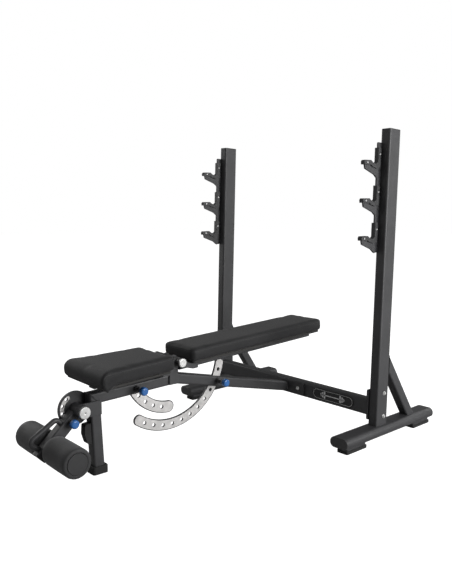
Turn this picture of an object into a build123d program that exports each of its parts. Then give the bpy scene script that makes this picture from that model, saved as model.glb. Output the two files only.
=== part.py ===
from build123d import *
from math import cos, radians, sin, tan
import os

# Olympic bench press. Millimetres, +Z up, +X to the lifter's left when lying down.
# The origin is on the floor, in the middle of the machine's footprint.

# --- driving dimensions -------------------------------------------------------
UPRIGHT_X = 565.0            # half of the distance between the two uprights
UPRIGHT_Y = 541.2            # where the uprights stand on their feet
UPRIGHT_TOP = 1478.0
UPRIGHT_LEAN = 1.58          # degrees, top towards +Y
UPRIGHT_SECTION = (50.0, 86.0)
WALL = 3.0                   # wall of every steel tube
FIT = 0.05                   # radial clearance of shafts and plungers
PLATE = 8.0                  # laser-cut steel plate

FOOT_TOP = 80.0
FOOT_SECTION = (100.0, 50.0)
FOOT_FRONT = UPRIGHT_Y - 288.0
FOOT_REAR = UPRIGHT_Y + 418.0
FOOT_CAP = 10.0              # lip of the plastic end caps
PAD_SPOTS = (UPRIGHT_Y - 195.0, UPRIGHT_Y + 350.0)

CROSSBAR_Y = UPRIGHT_Y - 23.0
CROSSBAR_Z = 167.0
CROSSBAR_SECTION = (50.0, 80.0)
CROSSBAR_FRONT = CROSSBAR_Y - CROSSBAR_SECTION[0] / 2
CROSSBAR_BOLT_Z = (122.0, 236.0)
CROSSBAR_BOLT_Y = UPRIGHT_Y + 12.0

BEAM = 50.0                  # side of the square section of main beam and post
POST_TOP = (UPRIGHT_Y - 1226.0, 328.5)
BEAM_BEND = (UPRIGHT_Y - 805.0, 340.0)
BEAM_END = (CROSSBAR_FRONT - PLATE, 163.0)
POST_FOOT_Y = UPRIGHT_Y - 1211.0
POST_BOTTOM = 6.0            # inside the rubber boot
BEAM_START = (POST_TOP[0] - 60.0, POST_TOP[1] - 60.0 * 11.5 / 421.0)

PIVOT_Y = UPRIGHT_Y - 827.0  # shared hinge of seat and backrest
PIVOT_Z = 430.0
PIVOT_R = 12.5
BACK_TILT = 2.6              # rest angle of the backrest above level
SEAT_TILT = 1.0

ARC = 8.0                    # thickness of the two hole arcs
BACK_ARC = (280.0, 331.0)    # inner and outer radius
BACK_HOLES_R = 305.5
BACK_HOLES = [-18.0 - 10.0 * k for k in range(11)]
SEAT_ARC = (193.0, 248.5)
SEAT_HOLES_R = 220.0
SEAT_HOLES = [-154.1 + 12.83 * k for k in range(5)]
HOLE_R = 8.5
PLUNGER_R = 7.0
PIN_TRAVEL = 14.0

LEG_Y = UPRIGHT_Y - 1295.0   # hinge of the leg hold-down
LEG_Z = 289.5
LEG_SHAFT_R = 10.0
LEG_DOWN = 42.5              # degrees that the arm points below level
LEG_HOLES_R = 58.0
LEG_HOLES = [130.0 + 31.0 * k for k in range(4)]
ARM_LENGTH = 236.0
AXLE = (179.0, -17.0)        # roller axle along and above the arm's centreline
ROLLER_R = 60.0
ROLLER_X = (35.0, 218.0)

HOOK_Z = (974.0, 1145.0, 1316.0)   # inner corner of each bar rest
STRIP = 28.0                 # depth of the hook plate's back strip

SIDES = {"left": -1, "right": 1}


# --- shared shapes ------------------------------------------------------------
def side(x):
    """Sketch plane facing +X whose coordinates are Y and Z."""
    return Plane.YZ.offset(x)


def hinge_side(x, degrees=0.0):
    """The same, with its origin on the seat and backrest hinge, turned up by degrees."""
    direction = (0, cos(radians(degrees)), sin(radians(degrees)))
    return Plane(origin=(x, PIVOT_Y, PIVOT_Z), x_dir=direction, z_dir=(1, 0, 0))


def leg_side(x):
    """Sketch plane facing +X with its origin on the leg hinge."""
    return Plane(origin=(x, LEG_Y, LEG_Z), x_dir=(0, 1, 0), z_dir=(1, 0, 0))


def arm_side(x):
    """Sketch plane facing -X: first coordinate down the leg arm, second above it."""
    down = radians(LEG_DOWN)
    return Plane(origin=(x, LEG_Y, LEG_Z), x_dir=(0, -cos(down), -sin(down)), z_dir=(-1, 0, 0))


def tube_plane(start, end, x=0.0):
    """Plane across a tube that runs from start to end, both (Y, Z), at the distance x."""
    run = (0, end[0] - start[0], end[1] - start[1])
    return Plane(origin=(x, start[0], start[1]), x_dir=(1, 0, 0), z_dir=run)


def along_y(x, y, z):
    """Plane across a part that runs towards +Y."""
    return Plane(origin=(x, y, z), x_dir=(1, 0, 0), z_dir=(0, 1, 0))


def polar(radius, degrees):
    return (radius * cos(radians(degrees)), radius * sin(radians(degrees)))


def box_section(width, height, radius=9.0, wall=WALL):
    """Rounded rectangular tube section, added to the sketch that is open."""
    RectangleRounded(width, height, radius)
    RectangleRounded(width - 2 * wall, height - 2 * wall, radius - wall, mode=Mode.SUBTRACT)


def arc_outline_edges(radii, first, last, round_start=False):
    """Edges of a ring sector between two angles with a half-round far end, or two."""
    inner, outer = radii
    middle = (first + last) / 2
    turn = 1 if last > first else -1
    centre = Vector(*polar((inner + outer) / 2, last))
    tip = centre + Vector(*polar((outer - inner) / 2, last + 90 * turn))
    ThreePointArc(polar(inner, first), polar(inner, middle), polar(inner, last))
    ThreePointArc(polar(inner, last), tip, polar(outer, last))
    ThreePointArc(polar(outer, last), polar(outer, middle), polar(outer, first))
    if round_start:
        centre = Vector(*polar((inner + outer) / 2, first))
        start_tip = centre - Vector(*polar((outer - inner) / 2, first + 90 * turn))
        ThreePointArc(polar(outer, first), start_tip, polar(inner, first))
    else:
        Line(polar(outer, first), polar(inner, first))


def save(piece, name):
    piece.part.label = name
    export_step(piece.part, f"parts/{name}.step")


os.makedirs("parts", exist_ok=True)


# --- feet, uprights and braces ------------------------------------------------
def upright_plane(sign, height):
    """Plane across an upright, height millimetres up its axis from the foot."""
    lean = radians(UPRIGHT_LEAN)
    origin = (sign * UPRIGHT_X, UPRIGHT_Y + height * sin(lean), FOOT_TOP + height * cos(lean))
    return Plane(origin=origin, x_dir=(1, 0, 0), z_dir=(0, sin(lean), cos(lean)))


UPRIGHT_LENGTH = (UPRIGHT_TOP - 5.0 - FOOT_TOP) / cos(radians(UPRIGHT_LEAN))


def foot_tube(name, sign):
    with BuildPart() as foot:
        with BuildSketch(along_y(sign * UPRIGHT_X, FOOT_FRONT, FOOT_TOP - FOOT_SECTION[1] / 2)):
            box_section(*FOOT_SECTION, radius=24.0)
        extrude(amount=FOOT_REAR - FOOT_FRONT)
    save(foot, name)


def foot_caps():
    """Plastic plugs with a rounded lip in the open ends of both feet."""
    inside = (FOOT_SECTION[0] - 2 * WALL - 0.4, FOOT_SECTION[1] - 2 * WALL - 0.4)
    with BuildPart() as caps:
        for sign in SIDES.values():
            for end, out in ((FOOT_FRONT, -1), (FOOT_REAR, 1)):
                face = Plane(origin=(sign * UPRIGHT_X, end, FOOT_TOP - FOOT_SECTION[1] / 2),
                             x_dir=(1, 0, 0), z_dir=(0, out, 0))
                with BuildSketch(face):
                    RectangleRounded(*FOOT_SECTION, 24.0)
                extrude(amount=FOOT_CAP)
                with BuildSketch(face):
                    RectangleRounded(*inside, 21.0)
                extrude(amount=-22.0)
        ends = caps.faces().filter_by(Axis.Y).group_by(Axis.Y)
        fillet(ends[0].edges() + ends[-1].edges(), 4.0)
    save(caps, "foot_caps")


def foot_rest(name, low, high, width, length):
    """Four blocks below the feet: the rubber pads or the plates that carry them."""
    with BuildPart() as rest:
        for sign in SIDES.values():
            for spot in PAD_SPOTS:
                with BuildSketch(Plane.XY.offset(low)):
                    with Locations((sign * UPRIGHT_X, spot)):
                        RectangleRounded(width, length, 6.0)
                extrude(amount=high - low)
    save(rest, name)


def upright(name, sign):
    with BuildPart() as post:
        with BuildSketch(upright_plane(sign, -6.0)):
            box_section(*UPRIGHT_SECTION)
        extrude(amount=UPRIGHT_LENGTH + 6.0)
        split(bisect_by=Plane.XY.offset(FOOT_TOP), keep=Keep.TOP)
        with BuildSketch(side(-UPRIGHT_X - 30.0)):
            with Locations(*[(CROSSBAR_BOLT_Y, z) for z in CROSSBAR_BOLT_Z]):
                Circle(6.2)
        extrude(amount=2 * UPRIGHT_X + 60.0, mode=Mode.SUBTRACT)
    save(post, name)


def upright_caps():
    with BuildPart() as caps:
        for sign in SIDES.values():
            with BuildSketch(upright_plane(sign, UPRIGHT_LENGTH)):
                RectangleRounded(*UPRIGHT_SECTION, 9.0)
            extrude(amount=5.0)
            with BuildSketch(upright_plane(sign, UPRIGHT_LENGTH)):
                RectangleRounded(UPRIGHT_SECTION[0] - 6.4, UPRIGHT_SECTION[1] - 6.4, 5.8)
            extrude(amount=-18.0)
        top = caps.faces().group_by(Axis.Z)[-1]
        fillet(top.edges(), 2.0)
    save(caps, "upright_caps")


def braces():
    """Raking struts, cut to the upright's rear face and to the foot's top."""
    lean = radians(UPRIGHT_LEAN)
    start = (UPRIGHT_Y + 49.0, 375.0)
    end = (UPRIGHT_Y + 253.5, FOOT_TOP)
    ahead = Vector(end[0] - start[0], end[1] - start[1]).normalized() * 60.0
    first = (start[0] - ahead.X, start[1] - ahead.Y)
    rear_face = Plane(origin=(0, UPRIGHT_Y + UPRIGHT_SECTION[1] / 2 / cos(lean), FOOT_TOP),
                      x_dir=(1, 0, 0), z_dir=(0, cos(lean), -sin(lean)))
    length = ((end[0] - start[0]) ** 2 + (end[1] - start[1]) ** 2) ** 0.5 + 120.0
    with BuildPart() as struts:
        for sign in SIDES.values():
            with BuildSketch(tube_plane(first, end, sign * UPRIGHT_X)):
                box_section(50.0, 50.0)
            extrude(amount=length)
        split(bisect_by=rear_face, keep=Keep.TOP)
        split(bisect_by=Plane.XY.offset(FOOT_TOP), keep=Keep.TOP)
    save(struts, "braces")


# --- crossbar -----------------------------------------------------------------
def crossbar():
    length = 2 * (UPRIGHT_X - UPRIGHT_SECTION[0] / 2 - PLATE)
    with BuildPart() as bar:
        with BuildSketch(Plane(origin=(-length / 2, CROSSBAR_Y, CROSSBAR_Z),
                               x_dir=(0, 1, 0), z_dir=(1, 0, 0))):
            box_section(*CROSSBAR_SECTION)
        extrude(amount=length)
        with BuildSketch(Plane.XZ.offset(-CROSSBAR_FRONT)):
            with Locations((-98.0, 168.0), (98.0, 168.0)):
                Circle(6.2)
        extrude(amount=-10.0, mode=Mode.SUBTRACT)
    save(bar, "crossbar")


def crossbar_plates():
    with BuildPart() as plates:
        for sign in SIDES.values():
            inner = UPRIGHT_X - UPRIGHT_SECTION[0] / 2 - PLATE
            with BuildSketch(side(inner if sign > 0 else -inner - PLATE)):
                with Locations((UPRIGHT_Y - 1.0, 178.0)):
                    RectangleRounded(92.0, 148.0, 8.0)
                with Locations(*[(CROSSBAR_BOLT_Y, z) for z in CROSSBAR_BOLT_Z]):
                    Circle(6.2, mode=Mode.SUBTRACT)
            extrude(amount=PLATE)
    save(plates, "crossbar_plates")


def frame_bolts():
    """Four through bolts in the uprights, head outside and nut inside, and two in the flange."""
    outer = UPRIGHT_X + UPRIGHT_SECTION[0] / 2
    inner = UPRIGHT_X - UPRIGHT_SECTION[0] / 2 - PLATE
    face = Plane.XZ.offset(-CROSSBAR_FRONT + PLATE)
    with BuildPart() as bolts:
        for sign in SIDES.values():
            for z in CROSSBAR_BOLT_Z:
                head = Plane(origin=(sign * outer, CROSSBAR_BOLT_Y, z), z_dir=(sign, 0, 0))
                nut = Plane(origin=(sign * inner, CROSSBAR_BOLT_Y, z), z_dir=(-sign, 0, 0))
                with BuildSketch(head):
                    Circle(9.5)
                extrude(amount=2.0)
                with BuildSketch(head.offset(2.0)):
                    Circle(7.5)
                extrude(amount=5.0, taper=18)
                with BuildSketch(nut):
                    RegularPolygon(9.5, 6)
                extrude(amount=9.0)
                with BuildSketch(nut.offset(12.0)):
                    Circle(6.0)
                extrude(amount=-(outer - inner + 14.0))
        for x in (-98.0, 98.0):
            with BuildSketch(face):
                with Locations((x, 168.0)):
                    Circle(9.5)
            extrude(amount=2.0)
            with BuildSketch(face.offset(2.0)):
                with Locations((x, 168.0)):
                    Circle(7.5)
            extrude(amount=5.0, taper=18)
            with BuildSketch(face):
                with Locations((x, 168.0)):
                    Circle(6.0)
            extrude(amount=-22.0)
    save(bolts, "frame_bolts")


def beam_flange():
    with BuildPart() as flange:
        with BuildSketch(Plane.XZ.offset(-CROSSBAR_FRONT)):
            with Locations((0.0, 166.0)):
                RectangleRounded(276.0, 66.0, 6.0)
            with Locations((-98.0, 168.0), (98.0, 168.0)):
                Circle(6.2, mode=Mode.SUBTRACT)
        extrude(amount=PLATE)
    save(flange, "beam_flange")


def badge():
    """Blank pill-shaped plate on the crossbar's front face."""
    with BuildPart() as plate:
        with BuildSketch(Plane.XZ.offset(-CROSSBAR_FRONT)):
            with Locations((327.0, 168.0)):
                SlotOverall(262.0, 60.0)
        extrude(amount=3.0)
        front = plate.faces().sort_by(Axis.Y)[0]
        fillet(front.edges(), 1.0)
    save(plate, "badge")


# --- main beam and front post -------------------------------------------------
def main_beam():
    """Square tube, bent once, with curved slots where the two hole arcs pass through."""
    half = BEAM / 2
    with BuildPart() as beam:
        with BuildLine() as route:
            FilletPolyline((0, *BEAM_START), (0, *BEAM_BEND), (0, *BEAM_END), radius=120.0)
        with BuildSketch(tube_plane(BEAM_START, BEAM_BEND)):
            box_section(BEAM, BEAM)
        sweep(path=route.wires()[0])
        split(bisect_by=mitre_plane(), keep=Keep.TOP)
        split(bisect_by=Plane.XZ.offset(-CROSSBAR_FRONT + PLATE), keep=Keep.TOP)
        for radii in (SEAT_ARC, BACK_ARC):
            with BuildSketch(hinge_side(-ARC / 2 - 2.5)):
                Circle(radii[1] + 4.0)
                Circle(radii[0] - 4.0, mode=Mode.SUBTRACT)
            extrude(amount=ARC + 5.0, mode=Mode.SUBTRACT)
        with BuildSketch(hinge_side(0)):
            with Locations(polar(SEAT_HOLES_R, SEAT_HOLES[0]), polar(BACK_HOLES_R, -28.0)):
                Circle(PLUNGER_R + FIT)
        extrude(amount=half + 2.0, mode=Mode.SUBTRACT)
    save(beam, "main_beam")


def mitre_plane():
    """Plane through the corner of beam and post, halving their angle, facing the beam."""
    along_beam = Vector(0, BEAM_BEND[0] - POST_TOP[0], BEAM_BEND[1] - POST_TOP[1]).normalized()
    down_post = Vector(0, POST_FOOT_Y - POST_TOP[0], POST_BOTTOM - POST_TOP[1]).normalized()
    return Plane(origin=(0, *POST_TOP), x_dir=(1, 0, 0), z_dir=along_beam - down_post)


def front_post():
    """Front leg, mitred to the beam's end."""
    foot = (POST_FOOT_Y, POST_BOTTOM)
    reach = Vector(POST_TOP[0] - foot[0], POST_TOP[1] - foot[1])
    with BuildPart() as post:
        with BuildSketch(tube_plane(foot, POST_TOP)):
            box_section(BEAM, BEAM)
        extrude(amount=reach.length + BEAM)
        split(bisect_by=mitre_plane(), keep=Keep.BOTTOM)
    save(post, "front_post")


def front_boot():
    """Rubber boot around the foot of the front post."""
    with BuildPart() as boot:
        with BuildSketch(Plane.XY):
            with Locations((0, POST_FOOT_Y)):
                RectangleRounded(66.0, 72.0, 12.0)
        extrude(amount=34.0)
        fillet(boot.faces().sort_by(Axis.Z)[-1].edges(), 4.0)
        with BuildSketch(tube_plane((POST_FOOT_Y, POST_BOTTOM), POST_TOP)):
            RectangleRounded(50.4, 50.4, 9.2)
        extrude(amount=60.0, mode=Mode.SUBTRACT)
    save(boot, "front_boot")


def yoke_plates():
    """Two plates on the beam's flanks that hold a sleeve for the pivot shaft."""
    with BuildPart() as yoke:
        for x in (-BEAM / 2 - PLATE, BEAM / 2):
            with BuildSketch(hinge_side(x)):
                Circle(25.0)
                Polygon((-23, -112), (27, -112), (23, 0), (-23, 0), align=None)
            extrude(amount=PLATE)
        with BuildSketch(hinge_side(-60.0)):
            Circle(19.0)
        extrude(amount=120.0)
        with BuildSketch(hinge_side(-60.0)):
            Circle(PIVOT_R + FIT)
        extrude(amount=120.0, mode=Mode.SUBTRACT)
    save(yoke, "yoke_plates")


def pivot_shaft():
    with BuildPart() as shaft:
        with BuildSketch(hinge_side(-96.0)):
            Circle(PIVOT_R)
        extrude(amount=192.0)
    save(shaft, "pivot_shaft")


def pivot_caps():
    """Bright caps pushed on the ends of the pivot shaft."""
    with BuildPart() as caps:
        for sign in SIDES.values():
            face = Plane(origin=(sign * 96.0, PIVOT_Y, PIVOT_Z), z_dir=(sign, 0, 0))
            with BuildSketch(face):
                Circle(20.0)
            extrude(amount=9.0)
        ends = caps.faces().filter_by(Axis.X).group_by(Axis.X)
        fillet(ends[0].edges() + ends[-1].edges(), 2.5)
    save(caps, "pivot_caps")


def pin_barrel(name, centre):
    """Threaded housing of a pull pin, welded to the beam's +X flank."""
    face = Plane(origin=(BEAM / 2, PIVOT_Y + centre[0], PIVOT_Z + centre[1]), z_dir=(1, 0, 0))
    with BuildPart() as barrel:
        with BuildSketch(face):
            RegularPolygon(15.0, 6)
        extrude(amount=14.0)
        with BuildSketch(face.offset(14.0)):
            Circle(12.0)
        extrude(amount=16.0)
        with BuildSketch(face):
            Circle(PLUNGER_R + FIT)
        extrude(amount=30.0, mode=Mode.SUBTRACT)
    save(barrel, name)


def pull_pin(prefix, y, z, tip, knob, length):
    """Plunger and its round knob along X: tip and knob are the X of their ends."""
    with BuildPart() as plunger:
        with BuildSketch(Plane(origin=(tip, y, z), z_dir=(1, 0, 0))):
            Circle(PLUNGER_R)
        extrude(amount=knob - 10.0 - tip)
    save(plunger, f"{prefix}_plunger")
    with BuildPart() as grip:
        with BuildSketch(Plane(origin=(knob - length, y, z), z_dir=(1, 0, 0))):
            Circle(18.5)
        extrude(amount=length)
        with BuildSketch(Plane(origin=(knob - length, y, z), z_dir=(1, 0, 0))):
            Circle(PLUNGER_R)
        extrude(amount=length - 10.0, mode=Mode.SUBTRACT)
        ends = grip.faces().filter_by(Axis.X).group_by(Axis.X)
        fillet(ends[-1].edges(), 8.0)
        fillet(grip.edges().filter_by(GeomType.CIRCLE).group_by(Axis.X)[0].sort_by(SortBy.RADIUS)[-1], 4.0)
    save(grip, f"{prefix}_knob")


# --- bar rests ----------------------------------------------------------------
def upright_front(z):
    """Y of the uprights' front face at the height z."""
    lean = radians(UPRIGHT_LEAN)
    return UPRIGHT_Y + (z - FOOT_TOP) * tan(lean) - UPRIGHT_SECTION[1] / 2 / cos(lean)


def rest_plane(x, corner_z):
    """Plane facing -X: first coordinate forward of the upright, second up from the corner."""
    lean = radians(UPRIGHT_LEAN)
    return Plane(origin=(x, upright_front(corner_z), corner_z),
                 x_dir=(0, -cos(lean), sin(lean)), z_dir=(-1, 0, 0))


def hook_plate(name, sign):
    """One laser-cut plate with three arms, flush with the upright's -X face."""
    x = sign * UPRIGHT_X - UPRIGHT_SECTION[0] / 2 + PLATE
    with BuildPart() as plate:
        bottom = rest_plane(x, HOOK_Z[0])
        with BuildSketch(bottom):
            with Locations((STRIP / 2, (HOOK_Z[2] - HOOK_Z[0] + 100.0 - 63.0) / 2)):
                RectangleRounded(STRIP, HOOK_Z[2] - HOOK_Z[0] + 100.0 + 63.0, 5.0)
        extrude(amount=PLATE)
        for z in HOOK_Z:
            with BuildSketch(rest_plane(x, z)):
                Polygon((STRIP - 10.0, -66.0), (STRIP, -62.0), (48.0, -48.0), (118.0, -26.0), (124.0, -6.0),
                        (88.0, 2.0), (40.0, -4.0), (STRIP, 2.0), (STRIP - 10.0, 2.0), align=None)
            extrude(amount=PLATE)
    save(plate, name)


def liner_edges():
    """Section of one plastic liner: up the strip, down the corner and out along the arm."""
    Polyline((STRIP + 4.0, 75.0), (STRIP + 4.0, 12.0), (46.0, 0.0), (70.0, 4.0), (85.0, 14.0),
             (128.0, 12.0), (134.0, 4.0), (132.0, -8.0), (84.0, -7.0), (72.0, -14.0),
             (42.0, -20.0), (14.0, -14.0), (10.0, 70.0), (14.0, 75.0), (STRIP + 4.0, 75.0))


def hook_liners():
    """Black plastic liners, three a side, each slotted to sit over the plate's edge."""
    with BuildPart() as liners:
        for sign in SIDES.values():
            x = sign * UPRIGHT_X - UPRIGHT_SECTION[0] / 2 + PLATE
            for z in HOOK_Z:
                with BuildSketch(rest_plane(x + 7.0, z)):
                    with BuildLine():
                        liner_edges()
                    make_face()
                extrude(amount=22.0)
    save(liners, "hook_liners")


def liner_screws():
    """Bright countersunk screws on each liner, sunk flush in its +X face."""
    with BuildPart() as screws:
        for sign in SIDES.values():
            x = sign * UPRIGHT_X - UPRIGHT_SECTION[0] / 2 + PLATE + 7.0
            for z in HOOK_Z:
                for spot in ((21.0, 45.0), (112.0, 2.0)):
                    with BuildSketch(rest_plane(x, z)):
                        with Locations(spot):
                            Circle(4.0)
                    extrude(amount=-1.5)
    save(screws, "liner_screws")


# --- backrest -----------------------------------------------------------------
BACK_TOP = 54.0              # pad's top above the hinge, square to the backrest
PAD = 60.0
BOARD = 10.0
RAIL = 40.0
BACK_REACH = (44.0, 950.0)   # pad's ends along the backrest
BACK_HALF = 118.0


def back_plane(height):
    """Plane parallel to the backrest: X, then along it, height above the hinge."""
    up = radians(BACK_TILT)
    origin = (0, PIVOT_Y - height * sin(up), PIVOT_Z + height * cos(up))
    return Plane(origin=origin, x_dir=(1, 0, 0), z_dir=(0, -sin(up), cos(up)))


def back_pad():
    with BuildPart() as pad:
        with BuildSketch(back_plane(BACK_TOP - PAD)):
            with Locations((0, sum(BACK_REACH) / 2)):
                RectangleRounded(2 * BACK_HALF, BACK_REACH[1] - BACK_REACH[0], 25.0)
        extrude(amount=PAD)
        fillet(pad.faces().sort_by(Axis.Z)[-1].edges(), 9.0)
    save(pad, "back_pad")


def back_board():
    with BuildPart() as board:
        with BuildSketch(back_plane(BACK_TOP - PAD - BOARD)):
            with Locations((0, sum(BACK_REACH) / 2)):
                RectangleRounded(2 * BACK_HALF - 30.0, BACK_REACH[1] - BACK_REACH[0] - 30.0, 18.0)
        extrude(amount=BOARD)
    save(board, "back_board")


def back_frame():
    """Rail under the backrest with a cross member that reaches the hinge plates."""
    top = BACK_TOP - PAD - BOARD
    up = radians(BACK_TILT)
    start = (40.0 * cos(up), 40.0 * sin(up))
    across = Plane(origin=(0, PIVOT_Y + start[0] - (top - RAIL / 2) * sin(up),
                           PIVOT_Z + start[1] + (top - RAIL / 2) * cos(up)),
                   x_dir=(1, 0, 0), z_dir=(0, cos(up), sin(up)))
    with BuildPart() as frame:
        with BuildSketch(across):
            RectangleRounded(50.0, RAIL, 7.0)
        extrude(amount=896.0)
        with BuildSketch(hinge_side(-94.0, BACK_TILT)):
            with Locations((77.0, top - 12.5)):
                RectangleRounded(30.0, 25.0, 4.0)
        extrude(amount=188.0)
        with BuildSketch(across):
            RectangleRounded(50.0 - 2 * WALL, RAIL - 2 * WALL, 7.0 - WALL)
        extrude(amount=896.0, mode=Mode.SUBTRACT)
    save(frame, "back_frame")


def back_end_cap():
    top = BACK_TOP - PAD - BOARD
    up = radians(BACK_TILT)
    along = 936.0
    face = Plane(origin=(0, PIVOT_Y + along * cos(up) - (top - RAIL / 2) * sin(up),
                         PIVOT_Z + along * sin(up) + (top - RAIL / 2) * cos(up)),
                 x_dir=(1, 0, 0), z_dir=(0, cos(up), sin(up)))
    with BuildPart() as cap:
        with BuildSketch(face):
            RectangleRounded(50.0, RAIL, 7.0)
        extrude(amount=4.0)
        with BuildSketch(face):
            RectangleRounded(50.0 - 2 * WALL - 0.4, RAIL - 2 * WALL - 0.4, 3.8)
        extrude(amount=-14.0)
    save(cap, "back_end_cap")


def hinge_plates(name, inner, thickness, boss, degrees, foot):
    """Pair of side plates that turn on the pivot shaft, with a boss inside or outside."""
    with BuildPart() as plates:
        for sign in SIDES.values():
            near = min(sign * inner, sign * (inner + thickness))
            with BuildSketch(hinge_side(near, degrees)):
                Circle(20.0)
                Polygon(*foot, align=None)
            extrude(amount=thickness)
            if boss:
                near = min(sign * (inner - boss), sign * inner)
                with BuildSketch(hinge_side(near)):
                    Circle(18.0)
                extrude(amount=boss)
        with BuildSketch(hinge_side(-120.0)):
            Circle(PIVOT_R + FIT)
        extrude(amount=240.0, mode=Mode.SUBTRACT)
    save(plates, name)


def hole_arc(name, radii, first, last, holes_r, holes, roof):
    """Curved plate with its row of holes, cut off under the rail that carries it."""
    with BuildPart() as plate:
        with BuildSketch(hinge_side(-ARC / 2)):
            with BuildLine():
                arc_outline_edges(radii, first, last)
            make_face()
            with Locations(*[polar(holes_r, angle) for angle in holes]):
                Circle(HOLE_R, mode=Mode.SUBTRACT)
        extrude(amount=ARC)
        split(bisect_by=roof, keep=Keep.TOP)
    save(plate, name)


def arc_strip(name, radii, first, last, holes_r, holes, roof):
    """Bright numbered-scale strip, 1 mm thick, laid on the arc's +X face."""
    slim = (radii[0] + 3.5, radii[1] - 3.5)
    with BuildPart() as strip:
        with BuildSketch(hinge_side(ARC / 2)):
            with BuildLine():
                arc_outline_edges(slim, first, last, round_start=True)
            make_face()
            with Locations(*[polar(holes_r, angle) for angle in holes]):
                Circle(HOLE_R + 0.6, mode=Mode.SUBTRACT)
        extrude(amount=1.0)
        split(bisect_by=roof, keep=Keep.TOP)
    save(strip, name)


# --- seat ---------------------------------------------------------------------
SEAT_FRONT = -452.0          # nose of the pad, from the hinge
SEAT_REAR = -62.0
SEAT_HALF = (172.0, 140.0)   # at the front and at the rear
SEAT_TOP = 48.5
SEAT_PAD = 66.0


def seat_plane(height):
    """Plane parallel to the seat: X, then towards the backrest, height above the hinge."""
    up = radians(SEAT_TILT)
    origin = (0, PIVOT_Y - height * sin(up), PIVOT_Z + height * cos(up))
    return Plane(origin=origin, x_dir=(1, 0, 0), z_dir=(0, -sin(up), cos(up)))


def seat_corners(inset):
    """Corners of the seat seen from above, wider at the front."""
    front, rear = SEAT_HALF
    return [(-front + inset, SEAT_FRONT + inset), (front - inset, SEAT_FRONT + inset),
            (rear - inset, SEAT_REAR - inset), (-rear + inset, SEAT_REAR - inset)]


def seat_pad():
    with BuildPart() as pad:
        with BuildSketch(seat_plane(SEAT_TOP - SEAT_PAD)):
            with BuildLine():
                FilletPolyline(*seat_corners(0.0), radius=25.0, close=True)
            make_face()
        extrude(amount=SEAT_PAD)
        fillet(pad.faces().sort_by(Axis.Z)[-1].edges(), 12.0)
    save(pad, "seat_pad")


def seat_board():
    with BuildPart() as board:
        with BuildSketch(seat_plane(SEAT_TOP - SEAT_PAD - BOARD)):
            with BuildLine():
                FilletPolyline(*seat_corners(15.0), radius=18.0, close=True)
            make_face()
        extrude(amount=BOARD)
    save(board, "seat_board")


SEAT_RAIL_TOP = SEAT_TOP - SEAT_PAD - BOARD
SEAT_RAIL = 28.0


def seat_frame():
    """Centre rail with three cross members under the seat board."""
    with BuildPart() as frame:
        with BuildSketch(seat_plane(SEAT_RAIL_TOP - SEAT_RAIL)):
            with Locations((0, (SEAT_FRONT + SEAT_REAR) / 2 + 14.0)):
                Rectangle(40.0, SEAT_REAR - SEAT_FRONT - 68.0)
            with Locations((0, SEAT_REAR - 8.0)):
                Rectangle(138.0, 28.0)
            with Locations((0, SEAT_FRONT + 80.0)):
                Rectangle(220.0, 30.0)
        extrude(amount=SEAT_RAIL)
        fillet(frame.edges().filter_by(Axis.X), 3.0)
    save(frame, "seat_frame")


# --- leg hold-down ------------------------------------------------------------
def leg_index_plate():
    """Round plate with four holes beside the post, for the leg arm's pull pin."""
    with BuildPart() as plate:
        with BuildSketch(leg_side(-35.0)):
            Circle(73.6)
            with Locations((56.0, 0.0)):
                Rectangle(44.0, 90.0)
        extrude(amount=10.0)
        with BuildSketch(leg_side(-36.0)):
            Circle(LEG_SHAFT_R + FIT)
            with Locations(*[polar(LEG_HOLES_R, angle) for angle in LEG_HOLES]):
                Circle(PLUNGER_R + 0.5)
        extrude(amount=12.0, mode=Mode.SUBTRACT)
    save(plate, "leg_index_plate")


def leg_index_strip():
    """Bright strip around the index holes, on the plate's inner face."""
    with BuildPart() as strip:
        with BuildSketch(leg_side(-25.0)):
            with BuildLine():
                arc_outline_edges((LEG_HOLES_R - 9.0, LEG_HOLES_R + 9.0), 122.0, 226.0, round_start=True)
            make_face()
            with Locations(*[polar(LEG_HOLES_R, angle) for angle in LEG_HOLES]):
                Circle(PLUNGER_R + 0.5, mode=Mode.SUBTRACT)
        extrude(amount=0.8)
    save(strip, "leg_index_strip")


def leg_ear_plate():
    """Ear on the post's +X flank with a boss for the outer end of the shaft."""
    with BuildPart() as ear:
        with BuildSketch(leg_side(25.0)):
            Circle(30.0)
            with Locations((46.0, 0.0)):
                Rectangle(92.0, 60.0)
        extrude(amount=10.0)
        with BuildSketch(leg_side(35.0)):
            Circle(29.0)
        extrude(amount=20.0)
        with BuildSketch(leg_side(20.0)):
            Circle(LEG_SHAFT_R + FIT)
        extrude(amount=40.0, mode=Mode.SUBTRACT)
    save(ear, "leg_ear_plate")


def leg_pivot_shaft():
    with BuildPart() as shaft:
        with BuildSketch(leg_side(-38.0)):
            Circle(LEG_SHAFT_R)
        extrude(amount=93.0)
    save(shaft, "leg_pivot_shaft")


def leg_pivot_caps():
    """Bright round cap with a hex socket outside, plain cap on the far side."""
    with BuildPart() as caps:
        with BuildSketch(leg_side(55.0)):
            Circle(25.0)
        extrude(amount=9.0)
        fillet(caps.faces().sort_by(Axis.X)[-1].edges(), 2.5)
        with BuildSketch(leg_side(64.0)):
            RegularPolygon(6.0, 6)
        extrude(amount=-5.0, mode=Mode.SUBTRACT)
        with BuildSketch(leg_side(-44.0)):
            Circle(18.0)
        extrude(amount=6.0)
    save(caps, "leg_pivot_caps")


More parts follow.
